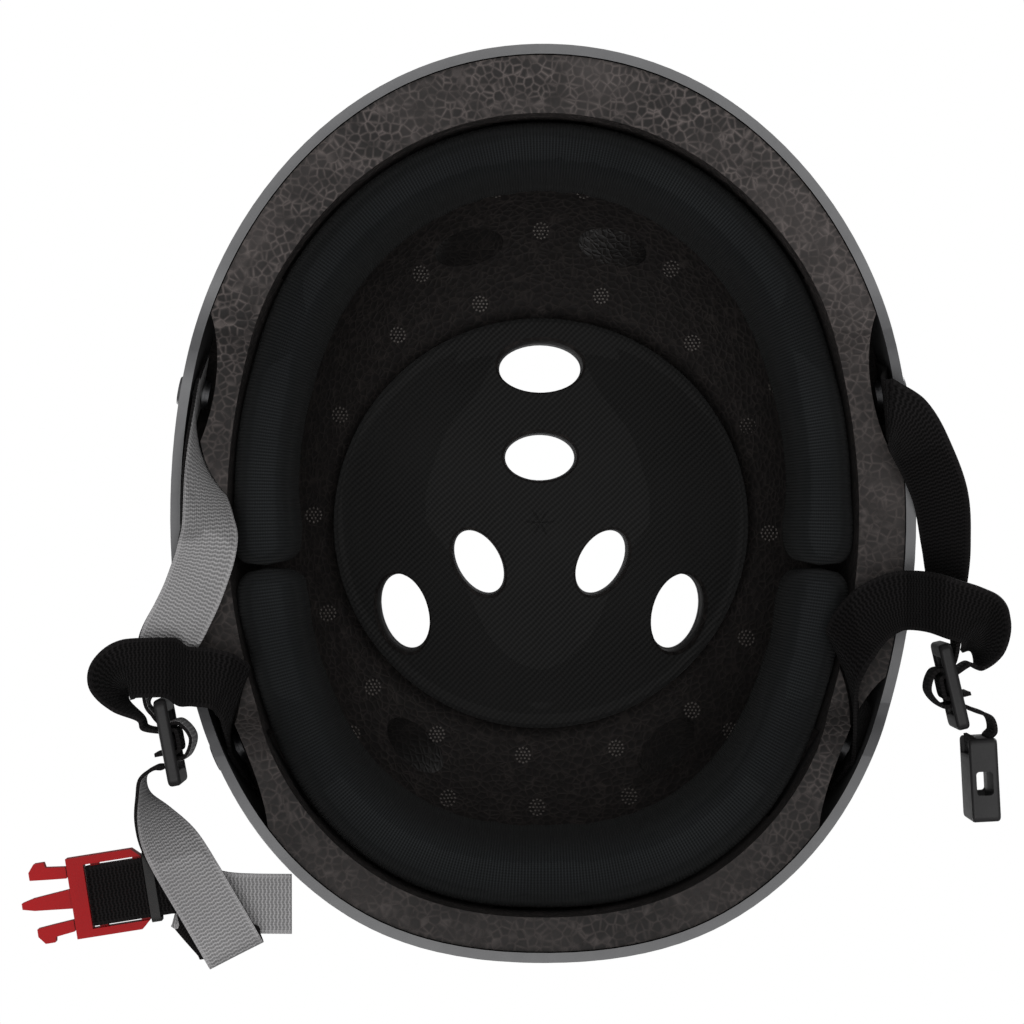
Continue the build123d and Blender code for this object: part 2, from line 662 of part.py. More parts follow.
# Straps: each end round its rivet, and each free stretch
for name, (side, rivet_y) in zip(strap_rows, ((-1, right_front_rivet), (-1, right_rear_rivet),
                                             (1, left_front_rivet), (1, left_rear_rivet))):
    with BuildPart() as held:
        add(held_parts[name])
        with BuildSketch(rivet_plane(side, rivet_y, 0)):
            Circle(rivet_shank / 2 + rivet_clearance)
        extrude(amount=-stack_clinch, mode=Mode.SUBTRACT)
    held.part.label = name + "_strap_end"
    export_step(held.part, "parts/" + name + "_strap_end.step")
    free_parts[name].label = name + "_strap"
    export_step(free_parts[name], "parts/" + name + "_strap.step")
right_chin.label = "right_chin_strap"
export_step(right_chin, "parts/right_chin_strap.step")
left_chin.label = "left_chin_strap"
export_step(left_chin, "parts/left_chin_strap.step")


# Ladder sliders
slot_length = webbing_width + 2 * slot_clearance
slider_height = slot_length + 2 * slider_wall
for name, frame in (("right_slider", right_slider_frame), ("left_slider", left_slider_frame)):
    centre, along, inwards = frame
    with BuildPart() as slider:
        with BuildSketch(Plane(origin=centre, x_dir=along, z_dir=inwards)):
            RectangleRounded(3 * slider_bar + 2 * slider_slot, slider_height, slider_round * 2)
            with GridLocations(slider_bar + slider_slot, 0, 2, 1):
                Rectangle(slider_slot, slot_length, mode=Mode.SUBTRACT)
        extrude(amount=slider_thickness / 2, both=True)
        faces = slider.faces().filter_by(Plane(origin=centre, z_dir=inwards))
        fillet(faces.edges(), slider_round)
    slider.part.label = name
    export_step(slider.part, "parts/" + name + ".step")


# Red plug half of the buckle, round the webbing bar
plug_plane = Plane(origin=plug_centre, x_dir=plug_along, z_dir=(0, 0, 1))
window_width = webbing_width + 2 * slot_clearance
plug_width = window_width + 2 * plug_rail
body_start = bar_wrap + webbing_thickness / 2 + fold_gap
body_end = body_start + plug_body_length
frame_end = -plug_frame_length + plug_bar
tip = body_end + prong_length
root = body_end + latch_gap
with BuildPart() as buckle_plug:
    with BuildSketch(plug_plane):
        with BuildLine():
            Polyline((frame_end - plug_bar, -plug_width / 2 + plug_rail), (frame_end, -plug_width / 2),
                     (body_end, -plug_width / 2), (body_end, plug_width / 2), (frame_end, plug_width / 2),
                     (frame_end - plug_bar, plug_width / 2 - plug_rail), close=True)
        make_face()
        with Locations(((frame_end - plug_frame_length + body_start) / 2, 0)):
            Rectangle(body_start - frame_end + plug_frame_length, window_width, mode=Mode.SUBTRACT)
    extrude(amount=plug_thickness / 2, both=True)
    with BuildSketch(plug_plane):
        Rectangle(plug_bar, window_width)
        with Locations((frame_end - plug_bar / 2, 0)):
            Rectangle(plug_bar, window_width)
    extrude(amount=plug_bar / 2, both=True)
    with BuildSketch(plug_plane):
        with BuildLine():
            Polyline((body_end, guide_width * 0.8), (tip - guide_width, guide_width / 2),
                     (tip, guide_width / 4), (tip, -guide_width / 4),
                     (tip - guide_width, -guide_width / 2), (body_end, -guide_width * 0.8),
                     close=True)
        make_face()
    extrude(amount=prong_thickness / 2, both=True)
buckle_plug.part.label = "buckle_plug"
export_step(buckle_plug.part, "parts/buckle_plug.step")

latch_foot = plug_width / 2 - prong_width / 2 - plug_rail
for name, hand in (("plug_latch_front", 1), ("plug_latch_rear", -1)):
    with BuildPart() as latch:
        with BuildSketch(plug_plane):
            with BuildLine():
                outline = [(root, latch_foot - prong_width / 2), (root, latch_foot + prong_width / 2),
                           (root + prong_length * 0.4, latch_foot + prong_width * 0.72),
                           (root + prong_length * 0.42, latch_foot + prong_width * 0.72 + latch_barb),
                           (root + prong_length * 0.62, latch_foot + prong_width * 0.72 + latch_barb),
                           (tip - prong_width, latch_foot + prong_width * 0.5),
                           (tip - prong_width, latch_foot - prong_width * 0.2),
                           (root + prong_length * 0.4, latch_foot - prong_width * 0.35)]
                Polyline(*((u, hand * v) for u, v in outline), close=True)
            make_face()
        extrude(amount=prong_thickness / 2, both=True)
        fillet(latch.edges().filter_by(Axis.Z), prong_width / 12)
    latch.part.label = name
    export_step(latch.part, "parts/" + name + ".step")


# Webbing keeper: a band round both layers of the chin webbing
keeper_inner_height = 2 * bar_wrap + webbing_thickness + 2 * keeper_clearance
keeper_inner_width = webbing_width + 2 * keeper_clearance
keeper_place = plug_centre - plug_along * (plug_frame_length + keeper_length / 2 + keeper_clearance)
with BuildPart() as strap_keeper:
    with BuildSketch(Plane(origin=keeper_place, x_dir=plug_across, z_dir=plug_along)):
        RectangleRounded(keeper_inner_width + 2 * keeper_wall, keeper_inner_height + 2 * keeper_wall,
                         keeper_wall * 2)
        Rectangle(keeper_inner_width, keeper_inner_height, mode=Mode.SUBTRACT)
    extrude(amount=keeper_length / 2, both=True)
strap_keeper.part.label = "strap_keeper"
export_step(strap_keeper.part, "parts/strap_keeper.step")


# Black socket half of the buckle, standing on its side edge
socket_plane = Plane(origin=socket_centre, x_dir=socket_along, z_dir=socket_inwards)
socket_body_start = socket_wrap + webbing_thickness / 2 + fold_gap
socket_end = socket_length - socket_bar / 2
with BuildPart() as buckle_socket:
    with BuildSketch(socket_plane):
        with Locations(((socket_end - socket_bar / 2) / 2, 0)):
            RectangleRounded(socket_end + socket_bar / 2, buckle_width, buckle_round * 2)
        with Locations(((socket_bar / 2 + socket_body_start) / 2, 0)):
            Rectangle(socket_body_start - socket_bar / 2, slot_length, mode=Mode.SUBTRACT)
    extrude(amount=buckle_thickness / 2, both=True)
    flat_faces = buckle_socket.faces().filter_by(Plane(origin=socket_centre, z_dir=socket_inwards))
    fillet(flat_faces.edges(), buckle_round)
    for way in (1, -1):
        with BuildSketch(socket_plane.offset(way * socket_bar / 2)):
            with Locations((-overrun / 2, 0)):
                Rectangle(socket_bar + overrun, slot_length)
        extrude(amount=way * buckle_thickness, mode=Mode.SUBTRACT)
    with BuildSketch(Plane(origin=socket_centre + socket_along * socket_end, x_dir=(0, 0, 1),
                           z_dir=socket_along)):
        Rectangle(buckle_width - 2 * socket_wall, buckle_thickness - 2 * socket_wall)
    extrude(amount=-socket_mouth_depth, mode=Mode.SUBTRACT)
    with BuildSketch(Plane(origin=socket_centre + socket_along * (socket_end - socket_mouth_depth * 0.68),
                           x_dir=socket_along, z_dir=(0, 0, 1))):
        RectangleRounded(socket_mouth_depth * 0.42, buckle_thickness - 2 * socket_wall, buckle_round)
    extrude(amount=buckle_width, both=True, mode=Mode.SUBTRACT)
buckle_socket.part.label = "buckle_socket"
export_step(buckle_socket.part, "parts/buckle_socket.step")
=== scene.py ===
import math

import bmesh
import bpy
from mathutils import Matrix, Vector


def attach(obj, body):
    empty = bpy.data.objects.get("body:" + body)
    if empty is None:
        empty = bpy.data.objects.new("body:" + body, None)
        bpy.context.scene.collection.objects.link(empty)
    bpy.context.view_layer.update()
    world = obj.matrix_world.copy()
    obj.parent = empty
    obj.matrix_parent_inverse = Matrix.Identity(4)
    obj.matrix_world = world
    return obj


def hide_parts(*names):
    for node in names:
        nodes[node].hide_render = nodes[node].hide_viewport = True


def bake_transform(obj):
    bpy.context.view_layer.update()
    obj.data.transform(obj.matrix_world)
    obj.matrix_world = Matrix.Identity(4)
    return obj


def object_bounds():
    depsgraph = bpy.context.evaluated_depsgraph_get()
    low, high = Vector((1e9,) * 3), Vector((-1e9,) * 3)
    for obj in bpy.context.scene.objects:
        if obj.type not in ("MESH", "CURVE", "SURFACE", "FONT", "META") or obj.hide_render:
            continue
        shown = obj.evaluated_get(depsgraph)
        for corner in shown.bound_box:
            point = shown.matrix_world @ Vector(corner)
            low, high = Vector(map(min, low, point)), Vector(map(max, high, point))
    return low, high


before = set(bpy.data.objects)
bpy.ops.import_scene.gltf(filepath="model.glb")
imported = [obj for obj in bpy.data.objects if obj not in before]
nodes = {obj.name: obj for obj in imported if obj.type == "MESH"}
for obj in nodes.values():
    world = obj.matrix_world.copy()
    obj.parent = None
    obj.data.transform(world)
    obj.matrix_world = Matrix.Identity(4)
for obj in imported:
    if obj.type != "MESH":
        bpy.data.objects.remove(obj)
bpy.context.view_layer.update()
scene = bpy.context.scene

# Camera: straight up into the open helmet from beneath, the brow at the top of the picture.
# Shapes are given in millimetres, which mm turns into Blender's metres. Patterns by place are in metres.
mm = 0.001
camera_x, camera_y, camera_distance, frame_width = -9.4, 3.0, 1120.0, 305.5
camera_data = bpy.data.cameras.new("camera")
camera_data.sensor_width = 36
camera_data.lens = camera_data.sensor_width * camera_distance / frame_width
camera_data.clip_end = 20
camera = bpy.data.objects.new("camera", camera_data)
camera.location = (camera_x * mm, camera_y * mm, -camera_distance * mm)
camera.rotation_euler = (math.pi, 0, 0)
scene.collection.objects.link(camera)
scene.camera = camera
scene.view_settings.view_transform = "Standard"


# Outer shell: one bowl of injection-moulded plastic, satin outside and in, its cut rim a little rough.
# It is the first piece to need a finish, so the two classes that materials are written with come here.
class Value:
    """A shader socket that can stand in a sum."""

    def __init__(self, finish, socket):
        self.finish, self.socket = finish, socket

    def sum(self, operation, *values):
        return self.finish.node("ShaderNodeMath", {"operation": operation}, dict(enumerate(values)))

    def __add__(self, other):
        return self.sum("ADD", self, other)

    def __sub__(self, other):
        return self.sum("SUBTRACT", self, other)

    def __mul__(self, other):
        return self.sum("MULTIPLY", self, other)

    def __rsub__(self, other):
        return self.sum("SUBTRACT", other, self)

    __radd__, __rmul__ = __add__, __mul__

    def sine(self):
        return self.sum("SINE", self)

    def size(self):
        return self.sum("ABSOLUTE", self)

    def power(self, other):
        return self.sum("POWER", self, other)

    def held(self):
        """The value kept between 0 and 1."""
        return self.finish.node("ShaderNodeClamp", {}, {0: self})

    def cycles(self, pitch):
        """An angle that goes once round in each pitch."""
        return self * (2 * math.pi / pitch)


class Finish:
    """A material, and the nodes that feed its surface."""

    def __init__(self, name, **settings):
        self.material = bpy.data.materials.new(name)
        self.material.use_nodes = True
        self.nodes = self.material.node_tree.nodes
        self.links = self.material.node_tree.links
        self.shader = self.nodes["Principled BSDF"]
        for key, value in settings.items():
            self.shader.inputs[key.replace("_", " ").title().replace("Ior", "IOR")].default_value = value
        coordinates = self.nodes.new("ShaderNodeTexCoord")
        self.place = Value(self, coordinates.outputs["Object"])
        self.map = Value(self, coordinates.outputs["UV"])

    def node(self, kind, settings, sockets, out=0):
        """One output of a new node, made with its settings and with what its sockets hold."""
        made = self.nodes.new(kind)
        for key, value in settings.items():
            setattr(made, key, value)
        for socket, value in sockets.items():
            if isinstance(value, Value):
                self.links.new(value.socket, made.inputs[socket])
            else:
                made.inputs[socket].default_value = value
        return Value(self, made.outputs[out])

    def noise(self, scale, detail=2):
        sockets = {"Vector": self.place, "Scale": scale, "Detail": detail}
        return self.node("ShaderNodeTexNoise", {}, sockets, "Fac")

    def cells(self, scale, feature="DISTANCE_TO_EDGE"):
        sockets = {"Vector": self.place, "Scale": scale}
        return self.node("ShaderNodeTexVoronoi", {"feature": feature}, sockets, "Distance")

    def split(self, vector):
        separate = self.node("ShaderNodeSeparateXYZ", {}, {0: vector}).socket.node
        return [Value(self, output) for output in separate.outputs]

    def mix(self, share, first, second):
        tones = [tone if isinstance(tone, Value) else (*tone, 1) for tone in (first, second)]
        return self.node("ShaderNodeMix", {"data_type": "RGBA"}, {0: share, 6: tones[0], 7: tones[1]}, 2)

    def feed(self, name, value):
        self.links.new(value.socket, self.shader.inputs[name])

    def bump(self, height, distance, strength=1):
        sockets = {"Strength": strength, "Distance": distance, "Height": height}
        self.feed("Normal", self.node("ShaderNodeBump", {}, sockets, "Normal"))

    def on(self, obj):
        obj.data.materials.clear()
        obj.data.materials.append(self.material)


shell_dark, shell_light = (0.1, 0.1, 0.104), (0.135, 0.135, 0.139)
shell_plastic = Finish("shell_plastic", roughness=0.38, coat_weight=0.12, coat_roughness=0.3)
shell_plastic.feed("Base Color", shell_plastic.mix(shell_plastic.noise(160, 3), shell_dark, shell_light))
shell_plastic.bump(shell_plastic.noise(1400, 2), 0.00004, 0.5)
shell_plastic.on(nodes["outer_shell"])


# Foam liner: beads of plastic foam, swollen and fused in a mould, and fitted up into the shell.
# The rim shows every bead inside a pale border, worn in places. Painted shade darkens it to the nape and deep
# inside.
bead_black, bead_border = (0.021, 0.019, 0.0186), (0.15, 0.127, 0.121)
shaded_inside_black, shaded_inside_border = (0.009, 0.0074, 0.0071), (0.036, 0.03, 0.028)
worn_tone, deep_tone, nape_shade_tone = (0.115, 0.1, 0.096), (0.012, 0.0105, 0.01), (0.014, 0.0125, 0.012)
rim_level, rim_fade, shade_start, shade_fade = 0.012, 60, 0.06, 6
bead_foam = Finish("bead_foam", roughness=0.78, specular_ior_level=0.3)
bead_edge = bead_foam.cells(400)
_, back, height = bead_foam.split(bead_foam.place)
# Below rim_level the rim's beads keep their own tone; above it the painted shade of the inside takes over.
rim_share = (1 - (height - rim_level) * rim_fade).held()
border = (1 - bead_edge * 4).held().power(2) * (bead_foam.noise(210, 3) * 2.2 - 0.45).held()
bead_tone = bead_foam.mix(border, bead_black, bead_border)
# Painted shade: the inside of the bowl is the same foam, painted darker where it lies deep in the bowl.
inside_shade_tone = bead_foam.mix(border, shaded_inside_black, shaded_inside_border)
worn = (bead_foam.noise(30, 5) * 2.6 - 1.15).held()
bead_tone = bead_foam.mix(worn * 0.5, bead_tone, worn_tone)
deep = (0.95 - bead_foam.noise(22, 4) * 2).held()
bead_tone = bead_foam.mix(deep * 0.8, bead_tone, deep_tone)
# Painted shade: the rim is mixed darker towards the nape, from shade_start in front of the middle.
bead_tone = bead_foam.mix(((back + shade_start) * shade_fade).held() * 0.56, bead_tone, nape_shade_tone)
bead_foam.feed("Base Color", bead_foam.mix(rim_share, inside_shade_tone, bead_tone))
bead_foam.bump((bead_edge * 3).held().power(0.5), 0.0006, 0.6)
bead_foam.on(nodes["foam_liner"])


# Blow marks: where steam and air pass the liner's mould, rings of small nubs are left standing on the foam.
# They are foam as well, a little paler than the skin round them.
liner_side, liner_front, liner_rear, liner_top = 96.0, 114.0, 126.5, 134.0
widest_place, brow_power, nape_power, liner_power = -2.3, 2.05, 2.35, 2.5
least = 1e-6


def liner_point(x, y, inset):
    """The liner's inner surface above a plan place, moved towards the head, and the way out of it."""
    length = (liner_rear if y > widest_place else liner_front) - inset
    power = nape_power if y > widest_place else brow_power
    across, along = abs(x) / (liner_side - inset), abs(y - widest_place) / length
    ring = max(across ** power + along ** power, least)
    climb = max(1 - ring ** (liner_power / power), least) ** (1 / liner_power)
    swell = ring ** (liner_power / power - 1)
    out = Vector((math.copysign(swell * across ** (power - 1) / (liner_side - inset), x),
                  math.copysign(swell * along ** (power - 1) / length, y - widest_place),
                  climb ** (liner_power - 1) / (liner_top - inset)))
    return Vector((x, y, (liner_top - inset) * climb)), out.normalized()


blow_marks = [(496, 189), (584, 190), (541, 231), (678, 220), (397, 227), (421, 274), (671, 269), (480, 304),
              (601, 296), (746, 295), (398, 335), (692, 343), (777, 385), (340, 415), (748, 426), (314, 515),
              (769, 533), (328, 613), (746, 638), (373, 687), (692, 710), (352, 734), (731, 731), (437, 734),
              (616, 748), (523, 755), (448, 798), (629, 796), (537, 807)]
picture_middle, rim_scale, first_scale = 512, 0.2985, 0.32
helmet_middle_x, helmet_middle_y = 541, 502
looks, rim_reach, step_back = 12, 0.93, 0.97


def seen_place(px, py):
    """The place on the liner's inner surface that the camera sees at a picture place."""
    x, y = (px - helmet_middle_x) * first_scale, (py - helmet_middle_y) * first_scale
    for _ in range(looks):
        if (x / liner_side) ** 2 + ((y - widest_place) / liner_rear) ** 2 > rim_reach:
            x, y = x * step_back, y * step_back
        scale = rim_scale * (1 + liner_point(x, y, 0)[0].z / camera_distance)
        x, y = (px - picture_middle) * scale + camera_x, (py - picture_middle) * scale + camera_y
    return x, y


nub_radius, nub_flatness, lowest_nub = 0.42, 0.45, 5
nub_rings = ((0, 1), (1.15, 6), (2.3, 12))
bpy.ops.object.select_all(action="DESELECT")
bpy.ops.mesh.primitive_uv_sphere_add(segments=8, ring_count=5, radius=nub_radius * mm)
nub = bpy.context.object
nub_mesh = bmesh.new()
for px, py in blow_marks:
    mark_x, mark_y = seen_place(px, py)
    for ring, count in nub_rings:
        for step in range(count):
            turn = 2 * math.pi * step / count
            spot, out = liner_point(mark_x + ring * math.cos(turn), mark_y + ring * math.sin(turn), 0)
            if spot.z < lowest_nub:
                continue
            stand = (Matrix.Translation(spot * mm) @ out.to_track_quat("Z", "Y").to_matrix().to_4x4()
                     @ Matrix.Diagonal((1, 1, nub_flatness, 1)))
            copied = nub.data.copy()
            copied.transform(stand)
            nub_mesh.from_mesh(copied)
            bpy.data.meshes.remove(copied)
nub_mesh.to_mesh(nub.data)
nub_mesh.free()
nub.name = "blow_marks"
nub.data.name = "blow_marks"
bpy.ops.object.shade_smooth()
nub_dark, nub_light = (0.06, 0.053, 0.049), (0.19, 0.17, 0.158)
nub_foam = Finish("nub_foam", roughness=0.6)
nub_foam.feed("Base Color", nub_foam.mix(nub_foam.noise(900), nub_dark, nub_light))
nub_foam.on(nub)
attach(nub, "helmet")


# Comfort pads: soft foam in ribbed knit, one round the brow and one round the nape, stuck on by hook patches.
# Each is crowned towards the head, its ends are rolled over, and the knit puckers where it turns.
wale_pitch, course_pitch = 1.05, 0.9
knit_dark, knit_light, furrow_shade = (0.0125, 0.0145, 0.016), (0.033, 0.0362, 0.0385), (0.0022, 0.0026, 0.0029)
shadow_tone, head_side, head_half = (0.0022, 0.0026, 0.0028), 98, 23
knit = Finish("ribbed_knit", roughness=0.86, specular_ior_level=0.18, sheen_weight=0.04, sheen_roughness=0.5)
along_pad, round_pad, _ = knit.split(knit.map)
wale = along_pad.cycles(wale_pitch).sine()
course = (round_pad.cycles(course_pitch) + wale * 0.6).sine()
knit_height = wale * 0.7 + course * 0.3
knit_tone = knit.mix((knit.noise(30, 4) * 1.5 - 0.3).held(), knit_dark, knit_light)
# Painted shade: the knit's furrows, where its height is low, are darkened to the tone of the painted shadow.
knit_tone = knit.mix((knit_height * 0.5 + 0.45).held(), furrow_shade, knit_tone)
crest = (1 - (round_pad - head_side).size() * (1 / head_half)).held()
knit_tone = knit.mix(crest.power(0.8), shadow_tone, knit_tone)
knit.feed("Base Color", knit_tone)
knit.bump(knit_height, 0.00028, 0.8)

pad_foot, pad_height, pad_thickness, nape_fullness = 4.6, 43.0, 19.5, 1.22
arch_front, arch_rear, front_slope, rear_slope, arch_height = -74, 98, 36, 42, 16


def arch_rise(y):
    """How much the rim's arch over the ear lifts whatever ends there."""
    if arch_front < y < arch_rear:
        share = min((y - arch_front) / front_slope, (arch_rear - y) / rear_slope, 1)
        return arch_height * (share * share * (3 - 2 * share))
    return 0


def ring_point(turn, level):
    """The liner's inner surface at a level, and the way out of it in plan."""
    climb = (1 - (max(level, 0) / liner_top) ** liner_power) ** (1 / liner_power)
    across, along = math.cos(turn), math.sin(turn)
    power = nape_power if along > 0 else brow_power
    length = liner_rear if along > 0 else liner_front
    reach = climb / (abs(across / liner_side) ** power + abs(along / length) ** power) ** (1 / power)
    x, y = across * reach, along * reach
    out = Vector((math.copysign(abs(x / liner_side) ** (power - 1) / liner_side, x),
                  math.copysign(abs(y / length) ** (power - 1) / length, y), 0)).normalized()
    return Vector((x, widest_place + y, level)), out


pad_columns, pad_rows, pad_level, pad_gap, knit_cover = 260, 44, 24, 0.5, 0.7
end_roll, end_power, depth_power, height_power = 8.0, 2.6, 2.7, 2.4
end_swell, swell_place, swell_spread, end_sink, end_droop = 0.1, 11, 9, 0.1, 0.7
pucker_waves, pucker_wander, wander_length = ((11.3, 0.4, 0.45), (6.7, 2.1, 0.28), (19, 1.2, 0.5)), 1.5, 17
middle_wear, middle_spread, least_wear, end_wear, end_spread = 0.75, 34, 0.2, 0.9, 15


def pad(name, first_turn, last_turn, body, *old_nodes):
    """A pad along the liner between two turns round it, its ends rolled over and its knit puckered."""
    bpy.ops.object.select_all(action="DESELECT")
    bpy.ops.mesh.primitive_grid_add(x_subdivisions=pad_columns, y_subdivisions=pad_rows, size=1)
    made = bpy.context.object
    made.name = made.data.name = name
    turns = [first_turn + (last_turn - first_turn) * step / pad_columns for step in range(pad_columns + 1)]
    middle = [ring_point(turn, pad_level)[0] for turn in turns]
    lengths = [0]
    for index in range(pad_columns):
        lengths.append(lengths[-1] + (middle[index + 1] - middle[index]).length)
    whole = lengths[-1]
    for vertex in made.data.vertices:
        column = round((vertex.co.x + 0.5) * pad_columns)
        row = round((vertex.co.y + 0.5) * pad_rows)
        turn, run = turns[column], lengths[column]
        end_gap = min(run, whole - run)
        full = (1 - (1 - min(end_gap / end_roll, 1)) ** end_power) ** (1 / end_power)
        swell = 1 + end_swell * math.exp(-((end_gap - swell_place) / swell_spread) ** 2)
        angle = 2 * math.pi * row / pad_rows
        lean, rise = math.cos(angle), math.sin(angle)
        foot = pad_foot + arch_rise(middle[column].y)
        half_high = (pad_foot + pad_height - foot) / 2
        nape_share = max(math.sin(turn), 0) ** 2
        half_deep = (pad_thickness * (1 + (nape_fullness - 1) * nape_share) - knit_cover) / 2
        deep = math.copysign(abs(lean) ** (2 / depth_power), lean)
        high = math.copysign(abs(rise) ** (2 / height_power), rise)
        pucker = 0
        for pitch, phase, share in pucker_waves:
            wander = pucker_wander * math.sin(run / wander_length)
            pucker += share * math.sin(2 * math.pi * run / pitch + phase + wander)
        worn = (math.exp(-((run - whole * 0.5) / middle_spread) ** 2) * middle_wear + least_wear
                + end_wear * math.exp(-(end_gap / end_spread) ** 2))
        pucker *= worn * (0.35 + 0.65 * abs(high)) * full
        depth = half_deep + half_deep * deep * full * swell - (1 - full) * half_deep * end_sink
        level = foot + half_high + (half_high * full ** end_droop) * high
        surface, out = ring_point(turn, level)
        inwards = pad_gap + depth + pucker * 0.6 * max(deep, 0)
        vertex.co = (surface - out * inwards + Vector((0, 0, pucker * 0.35 * high))) * mm
    marks = made.data.uv_layers.active.data
    for loop in made.data.loops:
        place = marks[loop.index].uv
        column = min(round(place.x * pad_columns), pad_columns)
        place.x, place.y = lengths[column], place.y * (pad_height + pad_thickness) * 2
    bpy.ops.object.mode_set(mode="EDIT")
    bpy.ops.mesh.select_all(action="SELECT")
    bpy.ops.mesh.remove_doubles(threshold=0.02 * mm)
    bpy.ops.mesh.normals_make_consistent(inside=False)
    bpy.ops.object.mode_set(mode="OBJECT")
    bpy.ops.object.shade_smooth()
    knit.on(made)
    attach(made, body)
    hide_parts(*old_nodes)
    return made


pad_split, end_step = math.radians(13.6), 0.0034
pad("front_pad", math.pi - (pad_split - end_step), 2 * math.pi + (pad_split - end_step), "helmet",
    "front_pad_cover", "front_pad_foam")
pad("rear_pad", pad_split + end_step, math.pi - pad_split - end_step, "helmet",
    "rear_pad_cover", "rear_pad_foam")


# Crown pad: a round of foam under a twilled knit, its edge sewn down, pierced where the vents pass.
# The liner's vents run on through it.
crown_place, crown_radius, crown_thickness, crown_side_gap = 6.5, 67.5, 8.0, 0.6
crown_columns, crown_rows, face_share, side_share = 192, 64, 1.2, 0.8
side_bulge, crown_foot, edge_sink, edge_spread = 0.5, 0.35, 3.2, 2.6
seam_depth, seam_place, seam_spread = 0.7, 5.2, 0.8
puff_height, puff_length, puff_fade = 0.25, 9, 20
bpy.ops.object.select_all(action="DESELECT")
bpy.ops.mesh.primitive_grid_add(x_subdivisions=crown_columns, y_subdivisions=crown_rows, size=1)
crown_pad = bpy.context.object
crown_pad.name = crown_pad.data.name = "crown_pad"
reach = crown_radius - crown_side_gap
for vertex in crown_pad.data.vertices:
    turn = (vertex.co.x + 0.5) * 2 * math.pi
    share = (vertex.co.y + 0.5) * 2
    if share <= face_share:
        radius = reach * share / face_share
        edge = reach - radius
        seam = seam_depth * math.exp(-((edge - seam_place) / seam_spread) ** 2)
        depth = crown_thickness - (edge_sink * math.exp(-(edge / edge_spread)) + seam)
        depth += (puff_height * math.sin(radius / puff_length + 2 * math.sin(turn * 3))
                  * min(edge / puff_fade, 1))
    else:
        bend = (share - face_share) / side_share
        radius = reach + side_bulge * math.sin(bend * math.pi)
        depth = crown_thickness * (1 - bend) + crown_foot * bend
    x, y = radius * math.cos(turn), crown_place + radius * math.sin(turn)
    vertex.co = liner_point(x, y, depth)[0] * mm
bpy.ops.object.mode_set(mode="EDIT")
bpy.ops.mesh.select_all(action="SELECT")
bpy.ops.mesh.remove_doubles(threshold=0.03 * mm)
bpy.ops.mesh.normals_make_consistent(inside=False)
bpy.ops.object.mode_set(mode="OBJECT")
bpy.ops.object.select_all(action="DESELECT")

vent_margin, cutter_length, cutter_level = 1.2, 90, 120
crown_vents = [(0, -45.4, 27.5, 16.2, 0), (0, -15.5, 23.5, 15.4, 0), (-20.6, 19.8, 23, 14.2, 60),
               (20.6, 19.8, 23, 14.2, -60), (-45.3, 36.3, 25.5, 15.2, 74), (45.3, 36.3, 25.5, 15.2, -74)]
for x, y, long, short, turn in crown_vents:
    bpy.ops.mesh.primitive_cylinder_add(vertices=48, radius=1, depth=cutter_length * mm)
    cutter = bpy.context.object
    oval = Matrix.Diagonal(((long / 2 + vent_margin) * mm, (short / 2 + vent_margin) * mm, 1, 1))
    cutter.data.transform(Matrix.Translation((x * mm, y * mm, cutter_level * mm))
                          @ Matrix.Rotation(math.radians(turn), 4, "Z") @ oval)
    cut = crown_pad.modifiers.new("vent", "BOOLEAN")
    cut.object, cut.operation, cut.solver = cutter, "DIFFERENCE", "EXACT"
    bpy.context.view_layer.objects.active = crown_pad
    bpy.ops.object.modifier_apply(modifier="vent")
    bpy.data.objects.remove(cutter)
bpy.context.view_layer.objects.active = crown_pad
edge_round = crown_pad.modifiers.new("edge", "BEVEL")
edge_round.width, edge_round.segments = 0.9 * mm, 3
edge_round.limit_method, edge_round.angle_limit = "ANGLE", 0.9
bpy.ops.object.modifier_apply(modifier="edge")
crown_pad.select_set(True)
bpy.ops.object.shade_smooth_by_angle(angle=1.0)

twill_pitch, cross_pitch, twill_sway = 0.0021, 0.0016, 0.6
crown_dark, crown_light, crown_dust = (0.003, 0.003, 0.003), (0.0195, 0.0192, 0.019), (0.0165, 0.0162, 0.016)
crown_knit = Finish("crown_knit", roughness=0.84, specular_ior_level=0.18, sheen_weight=0.03,
                    sheen_roughness=0.5)
x_place, y_place, _ = crown_knit.split(crown_knit.place)
twill = ((x_place + y_place).cycles(twill_pitch) + (x_place * 700).sine() * twill_sway).sine()
cross = (x_place - y_place).cycles(cross_pitch).sine()
crown_tone = crown_knit.mix((twill * 0.4 + cross * 0.15 + 0.5).held(), crown_dark, crown_light)
crown_tone = crown_knit.mix((crown_knit.noise(24, 4) * 1.4 - 0.4).held(), crown_tone, crown_dust)
crown_knit.feed("Base Color", crown_tone)
crown_knit.bump(twill * 0.7 + cross * 0.3, 0.0003, 0.7)
crown_knit.on(crown_pad)
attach(crown_pad, "helmet")
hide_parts("crown_pad_face", "crown_pad_foam")


# Hook patches: stiff plastic tape with a pile of small hooks, glued in shallow pockets of the foam.
# The knit of the pads catches on the hooks, so that a pad pulls off.
pile_pale, pile_dark = (0.03, 0.03, 0.03), (0.008, 0.008, 0.008)
hook_tape = Finish("hook_tape", roughness=0.8)
hooks = hook_tape.cells(900, "F1")
hook_tape.feed("Base Color", hook_tape.mix((hooks * 2).held(), pile_pale, pile_dark))
hook_tape.bump(hooks, 0.0004, 0.6)
hook_tape.on(nodes["ring_hook_patches"])
hook_tape.on(nodes["crown_hook_patches"])


